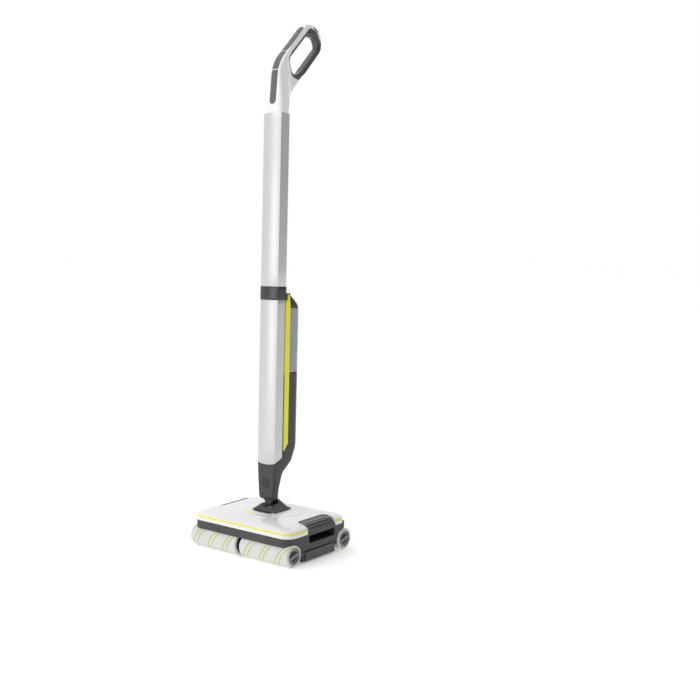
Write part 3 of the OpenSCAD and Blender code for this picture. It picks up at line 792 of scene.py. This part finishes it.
def roller_cap(row, side, name):
    """End cap: a rounded ring, a dark dished disc and a bar that the fingers pull."""
    body = row_body(row)
    low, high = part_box(name)
    x0, x1 = (low.x / MM, high.x / MM) if side > 0 else (-high.x / MM, -low.x / MM)
    centre = (row * ROW_Y, ROLLER_R)
    ring = [
        [x0, CAP_BORE, 0], [x0, CAP_R, 0], [x1, CAP_R, 1.6], [x1, CAP_LIP, 1.2],
        [x1 - 3.2, CAP_LIP - 0.6, 0.6], [x1 - 3.4, CAP_BORE, 0],
    ]
    dish = [
        [x0 + 0.1, 0.02, 0], [x0 + 0.1, CAP_BORE + 0.5, 0], [x1 - 3.3, DISH_R, 0],
        [x1 - 4.2, 6, 0], [x1 - 3.8, 0.02, 0],
    ]
    for suffix, section, count, slot, mat, nodes in (
        ("_ring", ring, 96, "cap_plastic", CAP_PLASTIC, [name]),
        ("_dish", dish, 64, "dark_plastic", RECESS_PLASTIC, []),
    ):
        profile = [(side * x, r) for x, r in rounded(section, step=20)]
        settle(revolve_x(name + suffix, profile, centre, HEAD, count), body, slot, mat, *nodes)
    turn = math.radians(-PULL_TURN * side)
    outline = dense(rect(PULL_HW, -PULL_HL, PULL_HL, 2.2, 15), 4)
    rings = []
    for back, d in ((3.9, 0), (1.4, 0), (0.75, 0.25), (0.5, 0.9)):
        ring = []
        for u, v in inset(outline, d):
            x = x1 - back + (PULL_LIFT * (v / PULL_HL) ** 2 if d > 0 else 0)
            y = u * math.cos(turn) - v * math.sin(turn)
            z = u * math.sin(turn) + v * math.cos(turn)
            ring.append((side * x, centre[0] + y, centre[1] + z))
        rings.append(ring)
    settle(loft(name + "_pull", rings, HEAD), body, "cap_plastic", CAP_PLASTIC)


for row, row_name in ((-1, "front"), (1, "rear")):
    for side, side_name in ((-1, "left"), (1, "right")):
        pile_sleeve(row, side, f"roller_pile_{row_name}_{side_name}")
        roller_cap(row, side, f"roller_cap_{row_name}_{side_name}")


# ---- Pivots ----
# The foot's skirt and pyramid, as (z, half width, inset at the front and the rear, corner radius)
PYRAMID = (
    (86, 36.4, 0.6, 4), (86.4, FOOT_HW, 0, 4.5), (88.6, FOOT_HW, 0, 4.5), (89.4, 36.4, 0.3, 4.5),
    (90.4, 34.6, 0.9, 4.5), (92.2, 31.4, 1.9, 4.2), (95, 26.9, 3.3, 4), (99, 21.4, 4.9, 3.6),
    (103, 16.2, 6.5, 3.2), (106.5, 12.0, 7.9, 3), (108.2, 10.0, 8.6, 2.8), (109, 8.9, 9.4, 2.4),
)


def trough_shape():
    """The tongue's outline swept through its swing to both sides."""
    r = TONGUE_R + 0.5
    across, up = TONGUE_HW + 0.5, TONGUE_TOP - SWIVEL_Z
    reach = math.hypot(across, up)
    lead = math.atan2(up, across) - math.radians(SWIVEL_MAX)
    low = lead - math.acos(r / reach)
    x, z = reach * math.cos(lead), SWIVEL_Z + reach * math.sin(lead)
    arc = [(r * math.cos(a), SWIVEL_Z + r * math.sin(a)) for a in np.linspace(low, -math.pi - low, 13)]
    return np.array([(-x, z), (-x, 140), (x, 140), (x, z)] + arc)


def tilt_foot():
    """A skirted pyramid on a barrel, with a V trough in front for the tongue to swing in."""
    y0, y1 = TILT_Y - FOOT_HD, TILT_Y + FOOT_HD
    rings = []
    for z, hw, end, r in PYRAMID:
        rings.append([(x, y, z) for x, y in even(rect(hw, y0 + end, y1 - end, r, 10), 120)])
    obj = loft("foot_pyramid", rings, HEAD, angle=45)
    trough = cutter("trough", trough_shape(), -80, TONGUE_REAR + 0.4, HEAD, axis="y")
    combine(obj, trough, "DIFFERENCE", angle=38)
    settle(obj, "yoke", "dark_plastic", DARK_PLASTIC, "tilt_foot")
    angles = np.radians(np.arange(20, -201, -4))
    arc = [(TILT_Y + BARREL_R * math.cos(a), TILT_Z + BARREL_R * math.sin(a)) for a in angles]
    barrel = bar("foot_barrel", dense(np.array(arc), 3), edge_profile(FOOT_HW, 0.8, 0.0, 3, 2), HEAD)
    settle(barrel, "yoke", "dark_plastic", DARK_PLASTIC)


def knuckle():
    """The tongue under the neck that swings in the foot's trough."""
    angles = np.linspace(0, -math.pi, 41)
    arc = [(TONGUE_R * math.cos(a), SWIVEL_Z + TONGUE_R * math.sin(a)) for a in angles]
    outline = np.array([(-TONGUE_HW, TONGUE_TOP), (TONGUE_HW, TONGUE_TOP)] + arc)
    mid, half = (TONGUE_FRONT + TONGUE_REAR) / 2, (TONGUE_REAR - TONGUE_FRONT) / 2
    profile = [(mid + x, d) for x, d in edge_profile(half, 1.4, 0.0, 4, 2)]
    obj = bar("knuckle_tongue", dense(outline, 4), profile, HEAD, axis="y")
    settle(obj, "stem", "housing_plastic", HOUSING_PLASTIC, "knuckle")


tilt_foot()
knuckle()


# ---- Stem ----
def bulge(x, r):
    """How far an arc of radius r falls back at the distance x from its crown."""
    return r - math.sqrt(r * r - x * x)


def tube_section(grow, back=None):
    """The oval section of a tube: the front bulges on a large arc, and so does the back unless it is flat."""
    hw, front = TUBE_HW + grow, TUBE_FRONT + grow
    rear, rear_r = (front, 7) if back is None else (back, 3)
    ring = dense(rounded([[-hw, -front, 7], [hw, -front, 7], [hw, rear, rear_r], [-hw, rear, rear_r]]), 2.5)
    sink = np.array([bulge(x, BULGE_R + grow) for x in ring[:, 0]])
    ring[:, 1] = np.maximum(ring[:, 1], sink - front)
    if back is None:
        ring[:, 1] = np.minimum(ring[:, 1], front - sink)
    return ring


def tube_low(x, t):
    """The lower edge of the silver tube: a shallow U in front that sweeps up along the sides."""
    t0, s0, run, rise, lip = -15.2, 198.6, 27.8, 12.7, 1.3
    return s0 + (t - t0) * rise / run + lip * (abs(x) / TUBE_HW) ** 4


def straight_tube(name, ring, s0, s1, edge, slot, mat, node, low=None):
    """A tube along the stem with softly rounded ends. low, if given, is a rule for its lower edge."""
    steps = ((0, edge), (0.3 * edge, 0.3 * edge), (edge, 0))
    rings = []
    for s, d in steps:
        rings.append([(x, t, (low(x, t) if low else s0) + s) for x, t in inset(ring, d)])
    fifth = 0.2 * (s1 - s0)
    for s in np.linspace(s0 + min(40, fifth), s1 - min(12, fifth), 8):
        rings.append([(x, t, s) for x, t in ring])
    for s, d in reversed(steps):
        rings.append([(x, t, s1 - s) for x, t in inset(ring, d)])
    settle(loft(name, rings, STEM), "stem", slot, mat, node)


def tubes():
    """The two silver tubes and the dark collar between them."""
    straight_tube("tube_lower", tube_section(0, TUBE_BACK), TUBE_FOOT, COLLAR_S - 0.1, TUBE_EDGE,
                  "silver_paint", SILVER, "lower_tube", low=tube_low)
    straight_tube("tube_upper", tube_section(0), COLLAR_END + 0.1, TUBE_TOP - 0.1, TUBE_EDGE,
                  "silver_paint", SILVER, "upper_tube")
    straight_tube("tube_collar", tube_section(0.6), COLLAR_S, COLLAR_END, 1.3,
                  "collar_plastic", COLLAR_PLASTIC, "collar")


def housing():
    """The dark rear housing that narrows into the neck."""
    low_r, high_r, top = 4.0, 0.8, SEAT_S - 0.2
    heights = [NECK_LOW + d for d in (0, 0.5, 1.6, 4)] + list(np.linspace(NECK_LOW + 8, 240, 64))
    heights += list(np.linspace(246, top - 1.8, 12)) + [top - d for d in (0.8, 0.3, 0)]
    rings = []
    for s in heights:
        shrink = low_r * round_off((s - NECK_LOW) / low_r) + high_r * round_off((top - s) / high_r)
        hw = graph(NECK_SIDE, s) - shrink
        front = graph(NECK_FRONT, s) + 0.5 * shrink
        back = side_at(HOUSING_BACK, s) - 0.5 * shrink
        depth = back - front
        rear_r = min(21.0, 0.48 * depth, hw - 1)
        front_r = min(5.5, 0.35 * depth) if s < 199 else 2.0
        ring = rounded([[-hw, front, front_r], [hw, front, front_r], [hw, back, rear_r], [-hw, back, rear_r]])
        rings.append([(x, t, s) for x, t in ring])
    obj = loft("housing_shell", rings, STEM, angle=38)
    settle(obj, "stem", "housing_plastic", HOUSING_PLASTIC, "stem_housing")


def strips():
    """The yellow strip along each side, with a curved taper above and a pointed foot below."""
    near, top, rear, foot = 13.4, 594, 29, 244
    outline = rounded([
        [near, COLLAR_S - 0.5, 0], [19.4, COLLAR_S - 0.5, 0], [19.4, top, 0], [25.4, top - 6, 12],
        [rear, top - 25, 12], [rear, foot, 8], [near, foot - 20, 2],
    ])
    x0, x1 = HOUSING_HW - 2.2, HOUSING_HW + 0.3
    for side, name, nodes in ((-1, "strip_inlay_left", ["stem_strips"]), (1, "strip_inlay_right", [])):
        profile = [(side * x, d) for x, d in ((x0, 0.0), (x1 - 0.5, 0.0), (x1 - 0.15, 0.15), (x1, 0.55))]
        settle(bar(name, dense(outline, 12), profile, STEM), "stem", "yellow_trim", YELLOW, *nodes)


def tank_ring(s, d, front):
    """A section of the tank at height s, moved in by d: a slim neck between the strips and a wide back."""
    back = side_at(TANK_BACK, s) - d - 0.5
    near_top = max(0.0, s - 566)
    hw = HOUSING_HW - d - 0.010 * near_top ** 2
    neck, step = 26.1 - d, 29.7 + d
    r = max(4.0, min(19.5, back - 30.5) - min(d, 2))
    return rounded([
        [-neck, front + d, 0.5], [neck, front + d, 0.5], [neck, step, 0.4], [hw, step, 1.0],
        [hw, back, r], [-hw, back, r], [-hw, step, 1.0], [-neck, step, 0.4],
    ], step=8)


def tank():
    """The smoky tank with real wall thickness, and the darker cap that closes it."""
    base, low, count = SEAT_S + 0.7, 430, 220
    front, cap_front, cap_top = 14, 21.8, 594.3
    stations = [(base, 1.2), (base + 0.4, 0.4), (base + 1.4, 0.0)]
    stations += [(s, 0.0) for s in np.linspace(low, CAP_S - 4, 12)]
    stations += [(CAP_S - 0.8, 0.0), (CAP_S - 0.3, 0.3), (CAP_S - 0.3, 2.3)]
    stations += [(s, 2.4) for s in np.linspace(CAP_S - 6, low, 8)]
    stations += [(base + 4.5, 2.8), (base + 2.4, 5.0)]
    rings = [[(x, t, s) for x, t in even(tank_ring(s, d, front), count)] for s, d in stations]
    settle(loft("tank_body", rings, STEM, angle=40), "fresh_tank", "tank_plastic", SMOKED, "tank_shell")
    stations = [(CAP_S, 0.35), (CAP_S + 0.3, 0.0)] + [(s, 0.0) for s in np.linspace(CAP_S + 3, 592, 26)]
    stations += [(cap_top - 0.9, 0.4), (cap_top, 1.0)]
    rings = []
    for s, d in stations:
        ring = even(tank_ring(s, d, front if s < 570.5 else cap_front), count)
        rings.append([(x, t, s) for x, t in ring])
    settle(loft("tank_lid", rings, STEM, angle=40), "fresh_tank", "dark_plastic", HOUSING_PLASTIC, "tank_cap")


def lens():
    """The dark window low on the neck."""
    outline = rounded([[-10, 144, 2], [10, 144, 2], [10, 164.5, 2], [-10, 164.5, 2]], step=15)
    rings = []
    for lift, d in ((-2.5, 0.0), (0.25, 0.0), (0.5, 0.25), (0.55, 0.8)):
        rings.append([(x, graph(NECK_FRONT, s) - lift, s) for x, s in inset(outline, d)])
    settle(loft("display_window", rings, STEM), "stem", "lens_plastic", LENS, "display_lens")


tubes()
housing()
strips()
tank()
lens()


# ---- Handle ----
LOOP_HW, SHELL_HW = 11.5, 16.0
# A point on the line along the front bar, and the direction out of its front
FRONT_LINE = (Vector((0, 19.9, 1149.5)), Vector((0, -0.7396, 0.673)))
# Where extra edges are cut, so that the change of width bends smoothly: up the stem, into the bar, backwards
SLICES_S = (TUBE_TOP, 1016, 1023, 1030, 1040, 1050, 1062, 1075, 1086, 1096, 1104, 1112)
SLICES_IN = (22, 25, 28, 32, 36, 41, 48)
SLICES_T = (12, 16, 20, 25, 30, 34, 38)
# (node, body, lower end, upper end, half width, corner radii of the two ends, gap, depth)
PADS = (
    ("handle_inlay", "stem", (-16.3, 1024), (-9.9, 1101.8), 9.3, (9.2, 1.2), 0.15, 4.4),
    ("power_button", "power_button", (-9.1, 1104.4), (18.6, 1148.2), 9.2, (1.2, 1.2), 0.3, 2.4),
    ("boost_button", "boost_button", (20.6, 1150.4), (79.5, 1215.0), 8.8, (1.2, 7.5), 0.3, 2.4),
)
REAR_STRIP = ((106, 1222.6), (130, 1212.5), 11.6, (9.0, 1.0))


def handle_width(t, s):
    """Half width of the handle: wide at the tube, slim at the front bar and slimmer at the rear grip."""
    wide = graph(HANDLE_SIDE, s)
    point, normal = FRONT_LINE
    depth = -(Vector((0, t, s)) - point).dot(normal)
    grip = clamp((depth - 22) / 26) * clamp((s - 1085) / 25)
    keel = clamp((t - 12) / 26) * clamp((s - 1012) / 24)
    return wide - (wide - LOOP_HW) * ease(max(grip, keel))


def handle_form(name, grow, edge=5.6):
    """The whole handle as one rounded form, grown all round by a little."""
    outer = dense(inset(rounded(HANDLE, step=5), -grow), 8)
    hole = dense(inset(rounded(OPENING, step=7), grow), 8)
    obj = bar(name, outer, edge_profile(SHELL_HW, edge, 0.9, 8, 8), STEM, hole=hole)
    point, normal = FRONT_LINE
    planes = [((0, 0, s), (0, 0, 1)) for s in SLICES_S]
    planes += [(tuple(point - normal * d), tuple(normal)) for d in SLICES_IN]
    planes += [((0, t, 0), (0, 1, 0)) for t in SLICES_T]
    slice_at(obj, planes, STEM)

    def shape(x, t, s):
        wide = (handle_width(t, s) + grow) / SHELL_HW
        sink = bulge(x * wide, BULGE_R) * max(0.0, 1 - max(0.0, s - TUBE_TOP) / 95)
        front = -1 if t < 0 else 1
        return x * wide, t - front * sink * min(1, abs(t) / 12), s

    bend(obj, STEM, shape)
    trim(obj, (0, 0, TUBE_TOP), (0, 0, 1), STEM)
    smooth(obj.data, 38)
    return obj


def pad_cutter(start, end, hw, radii, grow, low, high):
    """A rounded prism that stands on the front of the handle between two side points."""
    d = np.array(end, float) - np.array(start, float)
    length = np.linalg.norm(d)
    tilt = math.atan2(d[1], d[0])
    place = STEM @ Matrix.Translation((0, start[0], start[1])) @ Matrix.Rotation(tilt, 4, "X")
    near, far = (r + grow for r in radii)
    y0, y1 = -grow, length + grow
    hw += grow
    outline = dense(rounded([[-hw, y0, near], [hw, y0, near], [hw, y1, far], [-hw, y1, far]], step=8), 6)
    return cutter("pad", outline, low, high, place)


def handle():
    """White shell, dark grip loop with a strip over its top, and the three ribbed pads in front."""
    shell = handle_form("handle_white_shell", 0.0)
    grip = handle_form("handle_dark_loop", -0.1, 8.2)
    dark = dense(rounded(DARK, step=7), 8)
    combine(grip, cutter("dark", inset(dark, 0.12), -40, 40, STEM, axis="x"), "INTERSECT", angle=38)
    combine(shell, cutter("dark", inset(dark, -0.12), -40, 40, STEM, axis="x"), "DIFFERENCE", angle=38)
    combine(shell, pad_cutter(*REAR_STRIP, 0.15, -4, 16), "DIFFERENCE", angle=38)
    for node, body, start, end, hw, radii, gap, depth in PADS:
        combine(shell, pad_cutter(start, end, hw, radii, gap, -4.6, 12), "DIFFERENCE", angle=38)
    settle(shell, "stem", "white_plastic", WHITE, "handle_shell")
    settle(grip, "stem", "grip_plastic", GRIP_PLASTIC, "handle_grip")
    strip = handle_form("handle_top_strip", -0.15)
    combine(strip, pad_cutter(*REAR_STRIP, 0.0, -3.8, 16), "INTERSECT", angle=38)
    settle(strip, "stem", "grip_plastic", GRIP_PLASTIC)
    for node, body, start, end, hw, radii, gap, depth in PADS:
        form = handle_form(node + "_face", 0.45)
        combine(form, pad_cutter(start, end, hw, radii, 0.0, -depth, 12), "INTERSECT", angle=38)
        settle(form, body, "inlay_plastic", INLAY, node)


handle()

# ---- CAD nodes that keep their own shape ----
FINISH = {
    DARK_PLASTIC: [
        "head_frame", "frame_beams", "frame_ends", "splash_plate", "pivot_brackets",
        "belt_case_front", "belt_case_rear", "water_pump", "tank_seat",
    ] + [n for n in NODES if n.startswith("roller_core")],
    STEEL: [
        "cover_screws", "grip_pins", "drive_motors", "motor_shaft_front", "motor_shaft_rear",
        "axle_front", "axle_rear", "tilt_axle", "swivel_pin", "spray_bars", "tube_joiner",
    ],
    TRAY_PLASTIC: ["dirt_tray", "tray_runners", "tray_side_panels"],
    RUBBER: ["wipers", "drive_belts"],
    LENS: ["charging_socket"],
    CELL: ["battery_cells"],
    BOARD: ["control_board"],
}
for material, names in FINISH.items():
    for name in names:
        mesh = NODES[name].data
        mesh.materials.clear()
        mesh.materials.append(material)
        smooth(mesh, 30)
for name, width in (("frame_beams", 0.7), ("frame_ends", 0.7), ("tray_side_panels", 0.8), ("dirt_tray", 0.5)):
    soften(NODES[name], width)


# ---- Stage ----
FLOOR_SIZE, FLOOR_GLOW = 60, 0.26
WORLD_RAMP = (("From Min", -0.1), ("From Max", 0.8), ("To Min", 1.0), ("To Max", 0.2))
LIGHT_AIM = Vector((0, 0, 0.55))
# (name, place, size, watts)
LIGHTS = (
    ("key", (-1.2, -2.8, 2.6), 1.8, 14),
    ("front", (-1.3, -3.0, 0.75), 1.2, 8),
    ("top", (0, -0.4, 3.4), 2.0, 13),
    ("rim", (1.6, 2.2, 2.4), 1.6, 2),
)
CAMERA_AT, CAMERA_DOWN, CAMERA_TURN = (1606.2, -1749.4, 708.8), 4.831, 38.05
SENSOR, FOCAL, SHIFT_Y = 36, 53.01, -0.0286


def floor():
    """A plain pale floor."""
    bpy.ops.mesh.primitive_plane_add(size=FLOOR_SIZE, location=(0, 0, 0))
    obj = bpy.context.object
    obj.name = "floor"
    look = Look("studio floor", 0.9)
    look.colour(look.mix(look.spread(look.noise(3, 2), 0, 1), (0.93, 0.93, 0.93), (0.95, 0.95, 0.95)))
    look.set(Emission_Color=(1, 1, 1, 1), Emission_Strength=FLOOR_GLOW)
    obj.data.materials.append(look.mat)


def surroundings():
    """White surroundings that dim towards +X, so that the stem's right side is a little darker."""
    world = bpy.data.worlds.new("studio")
    bpy.context.scene.world = world
    world.use_nodes = True
    tree = world.node_tree
    kinds = ("ShaderNodeTexCoord", "ShaderNodeSeparateXYZ", "ShaderNodeMapRange")
    coord, split, ramp = (tree.nodes.new(kind) for kind in kinds)
    ramp.interpolation_type = "SMOOTHSTEP"
    for key, value in WORLD_RAMP:
        ramp.inputs[key].default_value = value
    background = tree.nodes["Background"]
    tree.links.new(coord.outputs["Generated"], split.inputs["Vector"])
    tree.links.new(split.outputs["X"], ramp.inputs["Value"])
    tree.links.new(ramp.outputs["Result"], background.inputs["Strength"])
    background.inputs["Color"].default_value = (1, 1, 1, 1)


def lights():
    """Four soft area lights that face the middle of the machine."""
    for name, place, size, power in LIGHTS:
        data = bpy.data.lights.new(name, "AREA")
        data.size, data.energy = size, power
        light = bpy.data.objects.new(name, data)
        light.location = place
        aim = LIGHT_AIM - Vector(place)
        light.rotation_euler = aim.to_track_quat("-Z", "Y").to_euler()
        bpy.context.scene.collection.objects.link(light)


def camera():
    """The camera at the photographed angle: front right, a little above the middle of the stem."""
    data = bpy.data.cameras.new("camera")
    cam = bpy.data.objects.new("camera", data)
    bpy.context.scene.collection.objects.link(cam)
    data.sensor_width, data.lens, data.shift_y = SENSOR, FOCAL, SHIFT_Y
    data.clip_start, data.clip_end = 0.05, 60
    cam.location = HEAD @ Vector(CAMERA_AT)
    cam.rotation_euler = (math.radians(90 - CAMERA_DOWN), 0, math.radians(CAMERA_TURN))
    bpy.context.scene.camera = cam


floor()
surroundings()
lights()
camera()
bpy.context.scene.view_settings.view_transform = "Standard"
